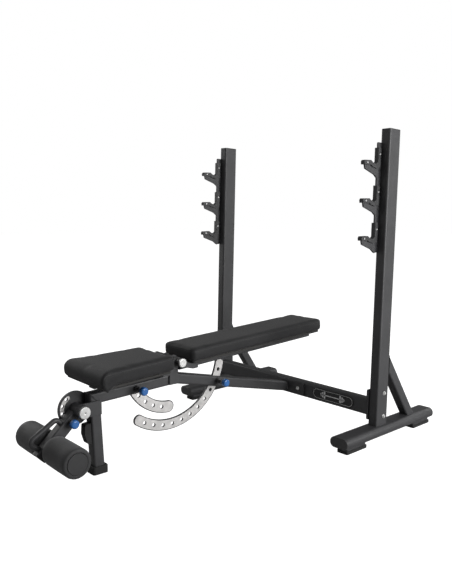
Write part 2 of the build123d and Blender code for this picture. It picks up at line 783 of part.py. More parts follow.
def leg_arm():
    """Square tube with a round hub on the hinge shaft, a pin hole and the axle's hole."""
    pin = pin_on_arm()
    with BuildPart() as arm:
        with BuildSketch(arm_side(22.0)):
            Circle(26.0)
        extrude(amount=44.0)
        with BuildSketch(Plane(origin=arm_side(0).from_local_coords((20.0, 0, 0)), x_dir=(1, 0, 0),
                               z_dir=arm_side(0).x_dir)):
            RectangleRounded(44.0, 50.0, 6.0)
        extrude(amount=ARM_LENGTH - 20.0)
        with BuildSketch(Plane(origin=arm_side(0).from_local_coords((95.0, 0, 0)), x_dir=(1, 0, 0),
                               z_dir=arm_side(0).x_dir)):
            RectangleRounded(38.0, 44.0, 3.0)
        extrude(amount=ARM_LENGTH - 95.0, mode=Mode.SUBTRACT)
        with BuildSketch(arm_side(30.0)):
            Circle(LEG_SHAFT_R + FIT)
            with Locations(AXLE):
                Circle(12.5)
            with Locations(pin):
                Circle(PLUNGER_R + FIT)
        extrude(amount=60.0, mode=Mode.SUBTRACT)
    save(arm, "leg_arm")


def pin_on_arm():
    """The pull pin's place in the arm's own coordinates."""
    spot = polar(LEG_HOLES_R, LEG_HOLES[-1])
    along = Vector(-cos(radians(LEG_DOWN)), -sin(radians(LEG_DOWN)))
    above = Vector(-sin(radians(LEG_DOWN)), cos(radians(LEG_DOWN)))
    return (Vector(*spot).dot(along), Vector(*spot).dot(above))


def arm_end_cap():
    face = Plane(origin=arm_side(0).from_local_coords((ARM_LENGTH, 0, 0)), x_dir=(1, 0, 0),
                 z_dir=arm_side(0).x_dir)
    with BuildPart() as cap:
        with BuildSketch(face):
            RectangleRounded(44.0, 50.0, 6.0)
        extrude(amount=4.0)
        with BuildSketch(face):
            RectangleRounded(37.6, 43.6, 2.8)
        extrude(amount=-14.0)
    save(cap, "arm_end_cap")


def arm_handle():
    """Bent round bar over the end of the arm, for lifting it."""
    plane = arm_side(0)
    points = [plane.from_local_coords((along, above, 0))
              for along, above in ((84.0, 25.0), (84.0, 52.0), (228.0, 81.0), (212.0, 25.0))]
    with BuildPart() as handle:
        with BuildLine() as route:
            FilletPolyline(*points, radius=20.0)
        with BuildSketch(Plane(origin=points[0], z_dir=plane.y_dir)):
            Circle(11.0)
        sweep(path=route.wires()[0])
        split(bisect_by=Plane(origin=plane.from_local_coords((0, 25.0, 0)), z_dir=plane.y_dir),
              keep=Keep.TOP)
    save(handle, "arm_handle")


def leg_pin_barrel():
    with BuildPart() as barrel:
        with BuildSketch(leg_side(22.0)):
            with Locations(polar(LEG_HOLES_R, LEG_HOLES[-1])):
                Circle(12.0)
                Circle(PLUNGER_R + FIT, mode=Mode.SUBTRACT)
        extrude(amount=6.0)
    save(barrel, "leg_pin_barrel")


def arm_bumper():
    """Rubber stop on the post's front face."""
    with BuildPart() as bumper:
        with BuildSketch(side(-17.0)):
            with BuildLine():
                FilletPolyline((UPRIGHT_Y - 1226.0, 134.0), (UPRIGHT_Y - 1262.0, 138.0),
                               (UPRIGHT_Y - 1275.0, 180.0), (UPRIGHT_Y - 1272.0, 222.0),
                               (UPRIGHT_Y - 1226.0, 225.0), radius=8.0, close=True)
            make_face()
        extrude(amount=34.0)
        foot = (POST_FOOT_Y, POST_BOTTOM)
        with BuildSketch(tube_plane(foot, POST_TOP)):
            Rectangle(60.0, BEAM)
        extrude(amount=320.0, mode=Mode.SUBTRACT)
    save(bumper, "arm_bumper")


def roller_axle():
    """Axle through the arm, with a collar on each side of it."""
    with BuildPart() as axle:
        with BuildSketch(arm_side(ROLLER_X[1] - 12.0)):
            with Locations(AXLE):
                Circle(12.5)
        extrude(amount=2 * ROLLER_X[1] - 24.0)
        for x in (-22.0, 34.0):
            with BuildSketch(arm_side(x)):
                with Locations(AXLE):
                    Circle(20.0)
            extrude(amount=12.0)
    save(axle, "roller_axle")


def roller(sign, name):
    """Foam sleeve that turns on the axle, and the disc that closes its outer end."""
    outer = sign * ROLLER_X[1] if sign > 0 else -ROLLER_X[0]
    with BuildPart() as foam:
        with BuildSketch(arm_side(outer)):
            with Locations(AXLE):
                Circle(ROLLER_R)
                Circle(12.55, mode=Mode.SUBTRACT)
        extrude(amount=ROLLER_X[1] - ROLLER_X[0])
        rims = foam.edges().filter_by(GeomType.CIRCLE).group_by(SortBy.RADIUS)[-1]
        fillet(rims, 7.0)
        with BuildSketch(arm_side(sign * ROLLER_X[1])):
            with Locations(AXLE):
                Circle(42.5)
        extrude(amount=6.0 * sign, mode=Mode.SUBTRACT)
    save(foam, f"roller_{name}")
    with BuildPart() as disc:
        with BuildSketch(arm_side(sign * (ROLLER_X[1] + 1.0))):
            with Locations(AXLE):
                Circle(42.0)
        extrude(amount=7.0 * sign)
    save(disc, f"roller_cap_{name}")


# --- build --------------------------------------------------------------------
for label, sign in SIDES.items():
    foot_tube(f"foot_tube_{label}", sign)
    upright(f"upright_{label}", sign)
    hook_plate(f"hook_plate_{label}", sign)
    roller(sign, label)

foot_caps()
foot_rest("foot_pads", 0.0, 14.0, 60.0, 150.0)
foot_rest("foot_pad_plates", 14.0, 30.0, 52.0, 140.0)
upright_caps()
braces()
crossbar()
crossbar_plates()
frame_bolts()
beam_flange()
badge()
hook_liners()
liner_screws()

main_beam()
front_post()
front_boot()
yoke_plates()
pivot_shaft()
pivot_caps()
seat_pin = polar(SEAT_HOLES_R, SEAT_HOLES[0])
back_pin = polar(BACK_HOLES_R, -28.0)
pin_barrel("seat_pin_barrel", seat_pin)
pin_barrel("back_pin_barrel", back_pin)
pull_pin("seat", PIVOT_Y + seat_pin[0], PIVOT_Z + seat_pin[1], 6.5, 97.0, 24.0)
pull_pin("back", PIVOT_Y + back_pin[0], PIVOT_Z + back_pin[1], 6.5, 97.0, 24.0)

back_pad()
back_board()
back_frame()
back_end_cap()
back_foot = ((-12.0, -16.0), (62.0, -41.0), (62.0, -17.0), (40.0, -10.0), (16.0, 12.0))
hinge_plates("back_hinge_plates", 86.0, 8.0, 15.0, BACK_TILT, back_foot)
back_roof = hinge_side(0, BACK_TILT)
back_roof = Plane(origin=back_roof.from_local_coords((0, BACK_TOP - PAD - BOARD - RAIL, 0)),
                  z_dir=-back_roof.y_dir)
hole_arc("back_arc", BACK_ARC, 4.0, -124.5, BACK_HOLES_R, BACK_HOLES, back_roof)
arc_strip("back_arc_strip", BACK_ARC, -12.6, -124.5, BACK_HOLES_R, BACK_HOLES, back_roof)

seat_pad()
seat_board()
seat_frame()
seat_foot = ((10.0, -17.0), (-56.0, SEAT_RAIL_TOP - SEAT_RAIL), (-56.0, SEAT_RAIL_TOP), (-14.0, 12.0))
hinge_plates("seat_hinge_plates", 61.0, 8.0, 0.0, SEAT_TILT, seat_foot)
seat_roof = hinge_side(0, SEAT_TILT)
seat_roof = Plane(origin=seat_roof.from_local_coords((0, SEAT_RAIL_TOP - SEAT_RAIL, 0)),
                  z_dir=-seat_roof.y_dir)
hole_arc("seat_arc", SEAT_ARC, -190.0, -92.5, SEAT_HOLES_R, SEAT_HOLES, seat_roof)
arc_strip("seat_arc_strip", SEAT_ARC, -160.0, -92.5, SEAT_HOLES_R, SEAT_HOLES, seat_roof)

leg_index_plate()
leg_index_strip()
leg_ear_plate()
leg_pivot_shaft()
leg_pivot_caps()
leg_arm()
arm_end_cap()
arm_handle()
leg_pin_barrel()
leg_pin = polar(LEG_HOLES_R, LEG_HOLES[-1])
pull_pin("leg", LEG_Y + leg_pin[0], LEG_Z + leg_pin[1], -22.0, 62.5, 20.0)
arm_bumper()
roller_axle()
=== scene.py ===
import bmesh
import bpy
from math import cos, pi, radians, sin, tan
from mathutils import Matrix, Vector
from mathutils.bvhtree import BVHTree
from mathutils.kdtree import KDTree


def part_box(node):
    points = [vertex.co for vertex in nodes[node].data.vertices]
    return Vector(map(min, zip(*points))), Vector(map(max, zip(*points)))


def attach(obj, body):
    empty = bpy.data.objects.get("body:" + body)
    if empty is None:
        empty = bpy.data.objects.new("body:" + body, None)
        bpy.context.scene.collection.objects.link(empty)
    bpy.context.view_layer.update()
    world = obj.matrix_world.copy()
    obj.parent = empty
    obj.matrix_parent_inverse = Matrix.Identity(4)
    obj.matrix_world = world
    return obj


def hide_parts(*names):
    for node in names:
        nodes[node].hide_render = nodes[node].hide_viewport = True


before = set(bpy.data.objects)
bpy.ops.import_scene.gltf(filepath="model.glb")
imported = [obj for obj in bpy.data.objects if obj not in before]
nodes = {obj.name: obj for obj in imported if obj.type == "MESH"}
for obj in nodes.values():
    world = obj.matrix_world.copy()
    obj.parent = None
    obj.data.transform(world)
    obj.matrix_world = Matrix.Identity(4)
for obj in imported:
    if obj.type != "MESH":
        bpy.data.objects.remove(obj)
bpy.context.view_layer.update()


# --- Studio -------------------------------------------------------------------
# A white paper sweep and a strong softbox on the bench's right, so that the black
# steel keeps dark fronts and grey flanks. The overhead softbox and the three fills
# are weak.
WHITE = (1.0, 1.0, 1.0, 1.0)
BACKDROP_LIGHT = 0.17        # what the white backdrop gives the bench
PAPER_GLOW = 0.98            # what the paper adds to reach white in the lens


def softbox(name, place, target, size, watts):
    light = bpy.data.lights.new(name, "AREA")
    light.shape = "SQUARE"
    light.size = size
    light.energy = watts
    lamp = bpy.data.objects.new(name, light)
    lamp.location = place
    lamp.rotation_euler = (Vector(target) - Vector(place)).to_track_quat("-Z", "Y").to_euler()
    bpy.context.scene.collection.objects.link(lamp)


def white_sweep():
    mesh = bmesh.new()
    bmesh.ops.create_grid(mesh, x_segments=4, y_segments=4, size=30.0)
    data = bpy.data.meshes.new("floor")
    mesh.to_mesh(data)
    mesh.free()
    floor = bpy.data.objects.new("floor", data)
    bpy.context.scene.collection.objects.link(floor)
    paper = bpy.data.materials.new("white_paper")
    paper.use_nodes = True
    surface = paper.node_tree.nodes["Principled BSDF"]
    surface.inputs["Base Color"].default_value = (0.45, 0.45, 0.45, 1.0)
    surface.inputs["Roughness"].default_value = 0.9
    surface.inputs["Specular IOR Level"].default_value = 0.1
    surface.inputs["Emission Color"].default_value = WHITE
    seen = paper.node_tree.nodes.new("ShaderNodeLightPath")
    glow = paper.node_tree.nodes.new("ShaderNodeMath")
    glow.operation = "MULTIPLY"
    glow.inputs[1].default_value = PAPER_GLOW
    paper.node_tree.links.new(seen.outputs["Is Camera Ray"], glow.inputs[0])
    paper.node_tree.links.new(glow.outputs["Value"], surface.inputs["Emission Strength"])
    data.materials.append(paper)


white_sweep()
softbox("overhead_softbox", (0.6, -0.6, 4.2), (0.0, 0.0, 0.4), 5.0, 20.0)
softbox("right_softbox", (4.3, 1.5, 1.7), (0.0, 0.3, 0.7), 2.8, 225.0)
softbox("front_fill", (-1.5, -5.5, 2.2), (0.0, 0.0, 0.6), 3.0, 15.0)
softbox("left_fill", (-5.0, -0.6, 1.8), (0.0, 0.0, 0.6), 3.2, 85.0)
softbox("rear_fill", (0.5, 5.5, 2.2), (0.0, 0.0, 0.6), 3.2, 55.0)



def white_backdrop():
    """White to the lens, but it lights the bench only a little."""
    world = bpy.data.worlds.new("studio")
    bpy.context.scene.world = world
    world.use_nodes = True
    sky = world.node_tree
    dim = sky.nodes["Background"]
    dim.inputs["Color"].default_value = WHITE
    dim.inputs["Strength"].default_value = BACKDROP_LIGHT
    bright = sky.nodes.new("ShaderNodeBackground")
    bright.inputs["Color"].default_value = WHITE
    bright.inputs["Strength"].default_value = 1.0
    seen = sky.nodes.new("ShaderNodeLightPath")
    choose = sky.nodes.new("ShaderNodeMixShader")
    sky.links.new(seen.outputs["Is Camera Ray"], choose.inputs["Fac"])
    sky.links.new(dim.outputs["Background"], choose.inputs[1])
    sky.links.new(bright.outputs["Background"], choose.inputs[2])
    sky.links.new(choose.outputs["Shader"], sky.nodes["World Output"].inputs["Surface"])


white_backdrop()
bpy.context.scene.view_settings.view_transform = "Standard"

camera = bpy.data.objects.new("camera", bpy.data.cameras.new("camera"))
camera.data.lens = 38.23
camera.data.sensor_width = 36.0
camera.data.clip_end = 100.0
camera.location = (2.2603, -1.9333, 1.0873)
camera.rotation_euler = (radians(82.89), 0.0, radians(48.58))
bpy.context.scene.collection.objects.link(camera)
bpy.context.scene.camera = camera


# --- Powder-coated steel ------------------------------------------------------
# All tubes and plates: mild steel, welded, blasted and powder-coated satin black.
# The coat has a fine orange peel; a painted highlight lightens its colour along the convex edges, broken up
# by noise.
def group_tree(name, inputs, outputs):
    """New shader group with float inputs {name: default} and outputs {name: socket type}."""
    tree = bpy.data.node_groups.new(name, "ShaderNodeTree")
    for label, value in inputs.items():
        socket = tree.interface.new_socket(name=label, in_out="INPUT", socket_type="NodeSocketFloat")
        socket.default_value = value
    for label, kind in outputs.items():
        tree.interface.new_socket(name=label, in_out="OUTPUT", socket_type=kind)
    tree.nodes.new("NodeGroupInput").name = "in"
    tree.nodes.new("NodeGroupOutput").name = "out"
    return tree


def object_noise(tree, scale_from, detail, roughness):
    """Noise on object coordinates; its scale comes from a socket or a number."""
    place = tree.nodes.new("ShaderNodeTexCoord")
    noise = tree.nodes.new("ShaderNodeTexNoise")
    noise.inputs["Detail"].default_value = detail
    noise.inputs["Roughness"].default_value = roughness
    tree.links.new(place.outputs["Object"], noise.inputs["Vector"])
    if isinstance(scale_from, (int, float)):
        noise.inputs["Scale"].default_value = scale_from
    else:
        tree.links.new(scale_from, noise.inputs["Scale"])
    return noise.outputs["Fac"]


def spread(tree, value, low, high, new_low, new_high):
    """Map Range: low..high becomes new_low..new_high."""
    node = tree.nodes.new("ShaderNodeMapRange")
    for label, number in (("From Min", low), ("From Max", high), ("To Min", new_low), ("To Max", new_high)):
        node.inputs[label].default_value = number
    tree.links.new(value, node.inputs["Value"])
    return node.outputs["Result"]


def edge_highlight_group():
    """Mask of convex edges, broken up by noise: 1 where the painted edge highlight goes."""
    tree = group_tree("edge_highlight", {"Radius": 0.0015, "Break Up": 60.0}, {"Mask": "NodeSocketFloat"})
    bevel = tree.nodes.new("ShaderNodeBevel")
    bevel.samples = 4
    shape = tree.nodes.new("ShaderNodeNewGeometry")
    dot = tree.nodes.new("ShaderNodeVectorMath")
    dot.operation = "DOT_PRODUCT"
    tree.links.new(tree.nodes["in"].outputs["Radius"], bevel.inputs["Radius"])
    tree.links.new(bevel.outputs["Normal"], dot.inputs[0])
    tree.links.new(shape.outputs["Normal"], dot.inputs[1])
    edge = spread(tree, dot.outputs["Value"], 0.995, 0.9, 0.0, 1.0)
    noise = object_noise(tree, tree.nodes["in"].outputs["Break Up"], 5.0, 0.6)
    patchy = spread(tree, noise, 0.45, 0.68, 0.0, 1.0)
    both = tree.nodes.new("ShaderNodeMath")
    both.operation = "MULTIPLY"
    tree.links.new(edge, both.inputs[0])
    tree.links.new(patchy, both.inputs[1])
    tree.links.new(both.outputs["Value"], tree.nodes["out"].inputs["Mask"])
    return tree


def peel_group():
    """Orange peel and fine grain of a sprayed or moulded skin, as one height."""
    tree = group_tree("orange_peel", {"Peel": 420.0, "Grain": 2600.0}, {"Height": "NodeSocketFloat"})
    peel = object_noise(tree, tree.nodes["in"].outputs["Peel"], 2.0, 0.5)
    grain = object_noise(tree, tree.nodes["in"].outputs["Grain"], 1.0, 0.5)
    both = tree.nodes.new("ShaderNodeMath")
    both.operation = "MULTIPLY_ADD"
    both.inputs[1].default_value = 0.35
    tree.links.new(grain, both.inputs[0])
    tree.links.new(peel, both.inputs[2])
    tree.links.new(both.outputs["Value"], tree.nodes["out"].inputs["Height"])
    return tree


edge_highlight = edge_highlight_group()
orange_peel = peel_group()


def use_group(tree, group, **values):
    node = tree.nodes.new("ShaderNodeGroup")
    node.node_tree = group
    for label, number in values.items():
        node.inputs[label.replace("_", " ")].default_value = number
    return node


def blend_colours(tree, mask, first, second):
    mix = tree.nodes.new("ShaderNodeMix")
    mix.data_type = "RGBA"
    mix.inputs["A"].default_value = (*first, 1.0)
    mix.inputs["B"].default_value = (*second, 1.0)
    tree.links.new(mask, mix.inputs["Factor"])
    return mix.outputs["Result"]


def finish(name, colour, edge_highlight_colour, roughness, metallic=0.0, peel=420.0, bump=0.15, edge=0.0015, coat=0.0,
           specular=0.5, cloud=9.0):
    """Painted or moulded finish: cloudy colour, a painted highlight in a lighter colour on the convex edges,
    peel bump, softened corners.
    """
    material = bpy.data.materials.new(name)
    material.use_nodes = True
    tree = material.node_tree
    shader = tree.nodes["Principled BSDF"]
    shader.inputs["Metallic"].default_value = metallic
    shader.inputs["Coat Weight"].default_value = coat
    shader.inputs["Coat Roughness"].default_value = 0.15
    shader.inputs["Specular IOR Level"].default_value = specular
    haze = spread(tree, object_noise(tree, cloud, 4.0, 0.55), 0.3, 0.7, 0.0, 1.0)
    base = blend_colours(tree, haze, [c * 0.88 for c in colour], [min(1.0, c * 1.12) for c in colour])
    # Painted highlight: the convex edges get the lighter second colour, in patches.
    edge_light = use_group(tree, edge_highlight, Radius=edge)
    highlighted = tree.nodes.new("ShaderNodeMix")
    highlighted.data_type = "RGBA"
    highlighted.inputs["B"].default_value = (*edge_highlight_colour, 1.0)
    tree.links.new(edge_light.outputs["Mask"], highlighted.inputs["Factor"])
    tree.links.new(base, highlighted.inputs["A"])
    tree.links.new(highlighted.outputs["Result"], shader.inputs["Base Color"])
    tree.links.new(spread(tree, object_noise(tree, 22.0, 5.0, 0.6), 0.3, 0.7, roughness - 0.06,
                          roughness + 0.06), shader.inputs["Roughness"])
    skin = use_group(tree, orange_peel, Peel=peel, Grain=peel * 6.0)
    soft = tree.nodes.new("ShaderNodeBevel")
    soft.samples = 4
    soft.inputs["Radius"].default_value = edge
    relief = tree.nodes.new("ShaderNodeBump")
    relief.inputs["Strength"].default_value = bump
    relief.inputs["Distance"].default_value = 0.0004
    tree.links.new(skin.outputs["Height"], relief.inputs["Height"])
    tree.links.new(soft.outputs["Normal"], relief.inputs["Normal"])
    tree.links.new(relief.outputs["Normal"], shader.inputs["Normal"])
    return material


def dress(material, *names):
    """Gives CAD nodes a material in the slots that they already have."""
    for name in names:
        for slot in nodes[name].material_slots:
            slot.material = material


# The second colour of each finish is its painted edge highlight.
powder_coat = finish("black_powder_coat", (0.034, 0.034, 0.036), (0.10, 0.10, 0.105), 0.48)
dress(powder_coat, "main_beam", "front_post", "beam_flange", "crossbar", "crossbar_plates", "upright_left",
      "upright_right", "foot_tube_left", "foot_tube_right", "foot_pad_plates", "braces",
      "hook_plate_left", "hook_plate_right", "yoke_plates", "leg_index_plate",
      "leg_ear_plate", "seat_pin_barrel", "back_pin_barrel", "seat_frame", "seat_hinge_plates",
      "seat_arc", "back_frame", "back_hinge_plates", "back_arc", "leg_arm", "arm_handle",
      "roller_axle", "leg_pin_barrel")


# --- Moulded plastic and rubber -----------------------------------------------
# End caps and bar-rest liners are injection-moulded black nylon; the foot pads,
# the front boot and the bumper are matt black rubber.
black_plastic = finish("moulded_nylon", (0.030, 0.030, 0.031), (0.06, 0.06, 0.06), 0.42, peel=900.0,
                       bump=0.10, edge=0.001)
dress(black_plastic, "upright_caps", "foot_caps", "back_end_cap", "arm_end_cap",
      "hook_liners", "roller_cap_left", "roller_cap_right")
rubber = finish("black_rubber", (0.022, 0.022, 0.022), (0.05, 0.05, 0.05), 0.78, peel=700.0,
                bump=0.3, edge=0.002, specular=0.3)
dress(rubber, "front_boot", "foot_pads", "arm_bumper")
painted_plywood = finish("painted_plywood", (0.018, 0.017, 0.016), (0.07, 0.05, 0.03), 0.7,
                         peel=160.0, bump=0.35)
dress(painted_plywood, "seat_board", "back_board")


# --- Bright steel hardware ----------------------------------------------------
# Zinc-plated bolts, screws, shafts and plungers, and turned caps on the hinges:
# fine turning marks and a slightly cloudy plating.
zinc = finish("zinc_plate", (0.72, 0.72, 0.71), (0.85, 0.85, 0.84), 0.34, metallic=0.75, peel=1400.0,
              bump=0.08, edge=0.0008, cloud=60.0)
dress(zinc, "frame_bolts", "liner_screws", "pivot_shaft", "pivot_caps",
      "leg_pivot_shaft", "leg_pivot_caps", "seat_plunger", "back_plunger", "leg_plunger")


# --- Index strips -------------------------------------------------------------
# Thin stainless strips riveted on the arcs, brushed along their length, that
# frame the rows of pin holes.
def brushed_strip():
    material = finish("brushed_strip", (0.72, 0.705, 0.695), (0.82, 0.81, 0.80), 0.38, metallic=0.55,
                      peel=1800.0, bump=0.12, edge=0.0006, cloud=40.0)
    tree = material.node_tree
    place = tree.nodes.new("ShaderNodeTexCoord")
    rings = tree.nodes.new("ShaderNodeTexWave")
    rings.wave_type = "RINGS"
    rings.rings_direction = "X"
    rings.inputs["Scale"].default_value = 260.0
    rings.inputs["Distortion"].default_value = 1.2
    centre = tree.nodes.new("ShaderNodeMapping")
    hinge_low, hinge_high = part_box("pivot_shaft")
    hinge = (Vector(hinge_low) + Vector(hinge_high)) / 2
    centre.inputs["Location"].default_value = -hinge
    tree.links.new(place.outputs["Object"], centre.inputs["Vector"])
    tree.links.new(centre.outputs["Vector"], rings.inputs["Vector"])
    tree.links.new(spread(tree, rings.outputs["Fac"], 0.0, 1.0, 0.30, 0.44),
                   tree.nodes["Principled BSDF"].inputs["Roughness"])
    return material


strip_steel = brushed_strip()
dress(strip_steel, "seat_arc_strip", "back_arc_strip", "leg_index_strip")


# --- Pull-pin knobs -----------------------------------------------------------
# Glossy blue moulded knobs, the only colour on the bench.
blue_gloss = finish("blue_knob", (0.026, 0.125, 0.37), (0.08, 0.25, 0.58), 0.28, peel=600.0, bump=0.05,
                    coat=0.3)
dress(blue_gloss, "seat_knob", "back_knob", "leg_knob")


# --- Upholstered pads ---------------------------------------------------------
# Firm foam on a plywood board, wrapped in black upholstery vinyl. The seat has a
# rolled nose that hangs below its board; a sewn seam edges each side panel.
HINGE_LOW, HINGE_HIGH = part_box("pivot_shaft")
HINGE = Vector((0.0, (HINGE_LOW[1] + HINGE_HIGH[1]) / 2, (HINGE_LOW[2] + HINGE_HIGH[2]) / 2))


def vinyl_material():
    """Fine leather-like grain: pebbles over a slow unevenness, slightly polished on the crowns."""
    material = bpy.data.materials.new("black_vinyl")
    material.use_nodes = True
    tree = material.node_tree
    shader = tree.nodes["Principled BSDF"]
    shader.inputs["Specular IOR Level"].default_value = 0.22
    shader.inputs["Sheen Weight"].default_value = 0.08
    shader.inputs["Sheen Roughness"].default_value = 0.5
    place = tree.nodes.new("ShaderNodeTexCoord")
    pebbles = tree.nodes.new("ShaderNodeTexVoronoi")
    pebbles.feature = "SMOOTH_F1"
    pebbles.inputs["Scale"].default_value = 620.0
    pebbles.inputs["Smoothness"].default_value = 0.6
    tree.links.new(place.outputs["Object"], pebbles.inputs["Vector"])
    height = spread(tree, pebbles.outputs["Distance"], 0.0, 0.8, 1.0, 0.0)
    crowns = blend_colours(tree, height, (0.011, 0.011, 0.0115), (0.019, 0.019, 0.020))
    haze = spread(tree, object_noise(tree, 14.0, 4.0, 0.6), 0.3, 0.7, 0.0, 0.35)
    tone = tree.nodes.new("ShaderNodeMix")
    tone.data_type = "RGBA"
    tone.inputs["B"].default_value = (0.024, 0.024, 0.025, 1.0)
    tree.links.new(haze, tone.inputs["Factor"])
    tree.links.new(crowns, tone.inputs["A"])
    tree.links.new(tone.outputs["Result"], shader.inputs["Base Color"])
    tree.links.new(spread(tree, height, 0.0, 1.0, 0.66, 0.50), shader.inputs["Roughness"])
    relief = tree.nodes.new("ShaderNodeBump")
    relief.inputs["Strength"].default_value = 0.35
    relief.inputs["Distance"].default_value = 0.0005
    tree.links.new(height, relief.inputs["Height"])
    tree.links.new(relief.outputs["Normal"], shader.inputs["Normal"])
    return material


def arc_of(centre, radius, start, end, steps):
    """Points on an arc between two angles in degrees."""
    angles = [radians(start + (end - start) * i / steps) for i in range(steps + 1)]
    return [(centre[0] + radius * cos(a), centre[1] + radius * sin(a)) for a in angles]


def at_hinge(tilt):
    """Turns a pad's own (X, along, above) coordinates into the bench's frame."""
    return Matrix.Translation(HINGE) @ Matrix.Rotation(radians(tilt), 4, "X")


def pad_blank(outline, half_width, corner, edge):
    """Side outline extruded across the bench, tapered in plan, with rounded edges."""
    mesh = bmesh.new()
    ring = [mesh.verts.new((-1.0, y, z)) for y, z in outline]
    cap = mesh.faces.new(ring)
    out = bmesh.ops.extrude_face_region(mesh, geom=[cap])
    moved = [v for v in out["geom"] if isinstance(v, bmesh.types.BMVert)]
    bmesh.ops.translate(mesh, verts=moved, vec=(2.0, 0.0, 0.0))
    for vert in mesh.verts:
        vert.co.x *= half_width(vert.co.y)
    bmesh.ops.recalc_face_normals(mesh, faces=mesh.faces)
    if corner:
        upright_edges = [e for e in mesh.edges
                         if abs(e.verts[0].co.z - e.verts[1].co.z) > 0.03
                         and abs(e.verts[0].co.y - e.verts[1].co.y) < 0.002]
        bmesh.ops.bevel(mesh, geom=upright_edges, offset=corner, affect="EDGES", segments=6,
                        profile=0.5, material=-1)
    rims = [e for e in mesh.edges if len(e.link_faces) == 2 and e.calc_face_angle(0.0) > radians(50)]
    bmesh.ops.bevel(mesh, geom=rims, offset=edge, affect="EDGES", segments=4, profile=0.5, material=-1)
    return mesh


def stuffed(mesh, name, fill, cap):
    """Remeshed and swollen by a short cloth simulation; no point moves more than cap."""
    data = bpy.data.meshes.new(name)
    mesh.to_mesh(data)
    mesh.free()
    pad = bpy.data.objects.new(name, data)
    bpy.context.scene.collection.objects.link(pad)
    remesh = pad.modifiers.new("remesh", "REMESH")
    remesh.mode = "VOXEL"
    remesh.voxel_size = 0.006
    apply_modifiers(pad)
    before = [v.co.copy() for v in pad.data.vertices]
    cloth = pad.modifiers.new("cloth", "CLOTH")
    cloth.settings.use_pressure = True
    cloth.settings.uniform_pressure_force = fill
    cloth.settings.effector_weights.gravity = 0.0
    cloth.settings.tension_stiffness = 25.0
    cloth.settings.compression_stiffness = 25.0
    cloth.point_cache.frame_start = 1
    cloth.point_cache.frame_end = 20
    for step in range(1, 21):
        bpy.context.scene.frame_set(step)
    apply_modifiers(pad)
    bpy.context.scene.frame_set(1)
    for vert, start in zip(pad.data.vertices, before):
        shift = vert.co - start
        if shift.length > cap:
            vert.co = start + shift.normalized() * cap
    smooth = pad.modifiers.new("smooth", "SMOOTH")
    smooth.iterations = 6
    smooth.factor = 0.5
    round_off = pad.modifiers.new("subdivide", "SUBSURF")
    round_off.levels = 1
    round_off.render_levels = 1
    apply_modifiers(pad)
    pad.data.polygons.foreach_set("use_smooth", [True] * len(pad.data.polygons))
    return pad


def apply_modifiers(piece):
    """Keeps the shape that the live modifiers give, and takes them off."""
    shaped = bpy.data.meshes.new_from_object(piece.evaluated_get(bpy.context.evaluated_depsgraph_get()))
    piece.modifiers.clear()
    piece.data = shaped


def sew(pad, name, lines, depth, thread):
    """Presses a channel into the pad along each line and lays a row of stitches in it."""
    surface = BVHTree.FromObject(pad, bpy.context.evaluated_depsgraph_get())
    laid = [[surface.find_nearest(Vector(p)) for p in line] for line in lines]
    tree = KDTree(sum(len(line) for line in laid))
    for index, hit in enumerate(h for line in laid for h in line):
        tree.insert(hit[0], index)
    tree.balance()
    reach = 0.0055
    for vert in pad.data.vertices:
        distance = tree.find(vert.co)[2]
        if distance < reach:
            vert.co -= vert.normal * depth * (1.0 - distance / reach) ** 2
    mesh = bmesh.new()
    for line in laid:
        for (first, normal, _, _), (second, _, _, _) in zip(line, line[1:]):
            run = second - first
            if run.length < 0.001:
                continue
            turn = run.to_track_quat("Z", "Y").to_matrix().to_4x4()
            middle = (first + second) / 2 - normal * depth * 0.55
            bmesh.ops.create_cone(mesh, cap_ends=True, segments=6, radius1=thread, radius2=thread,
                                  depth=run.length * 0.72, matrix=Matrix.Translation(middle) @ turn)
    data = bpy.data.meshes.new(name)
    mesh.to_mesh(data)
    mesh.free()
    stitches = bpy.data.objects.new(name, data)
    bpy.context.scene.collection.objects.link(stitches)
    return stitches


def along_line(points, step):
    """The same open line as evenly spaced points."""
    out = [Vector(points[0])]
    for start, end in zip(points, points[1:]):
        run = Vector(end) - Vector(start)
        count = max(1, round(run.length / step))
        out += [Vector(start) + run * i / count for i in range(1, count + 1)]
    return out


vinyl = vinyl_material()
thread_black = finish("sewing_thread", (0.05, 0.05, 0.052), (0.07, 0.07, 0.07), 0.7, peel=2400.0, bump=0.3)


def finish_pad(pad, stitches, tilt, node, body):
    for piece, material in ((pad, vinyl), (stitches, thread_black)):
        piece.data.transform(at_hinge(tilt))
        piece.data.materials.clear()
        piece.data.materials.append(material)
        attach(piece, body)
    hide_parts(node)


# The seat: 390 mm long, 344 mm wide at the nose and 280 mm at the hinge.
SEAT_NOSE, SEAT_BACK = -0.450, -0.064
SEAT_TOP, SEAT_UNDER = 0.0465, -0.0155
NOSE_HALF, HINGE_HALF = 0.170, 0.138        # before the stuffing swells it


def seat_half(y):
    """Half of the seat's width at the distance y from the hinge."""
    return NOSE_HALF + (HINGE_HALF - NOSE_HALF) * (y - SEAT_NOSE) / (SEAT_BACK - SEAT_NOSE)


seat_outline = (arc_of((SEAT_NOSE + 0.036, SEAT_TOP - 0.038), 0.036, 90, 195, 9)
                + arc_of((SEAT_NOSE + 0.033, -0.003), 0.0325, 200, 318, 8)
                + [(SEAT_NOSE + 0.075, SEAT_UNDER), (SEAT_BACK, SEAT_UNDER)]
                + arc_of((SEAT_BACK - 0.012, SEAT_TOP - 0.012), 0.012, 0, 90, 4))
seat_pad = stuffed(pad_blank(seat_outline, seat_half, 0.0, 0.009), "seat_cushion", 3.0, 0.005)
nose_seam = arc_of((SEAT_NOSE + 0.036, SEAT_TOP - 0.038), 0.030, 90, 195, 12) + [(SEAT_NOSE + 0.006, -0.004)]
seat_seam = [(SEAT_BACK, SEAT_TOP - 0.008)] + [(y, z - 0.002) for y, z in nose_seam]
seat_lines = [along_line([(sign * (seat_half(y) + 0.004), y, z) for y, z in seat_seam], 0.005)
              for sign in (-1, 1)]
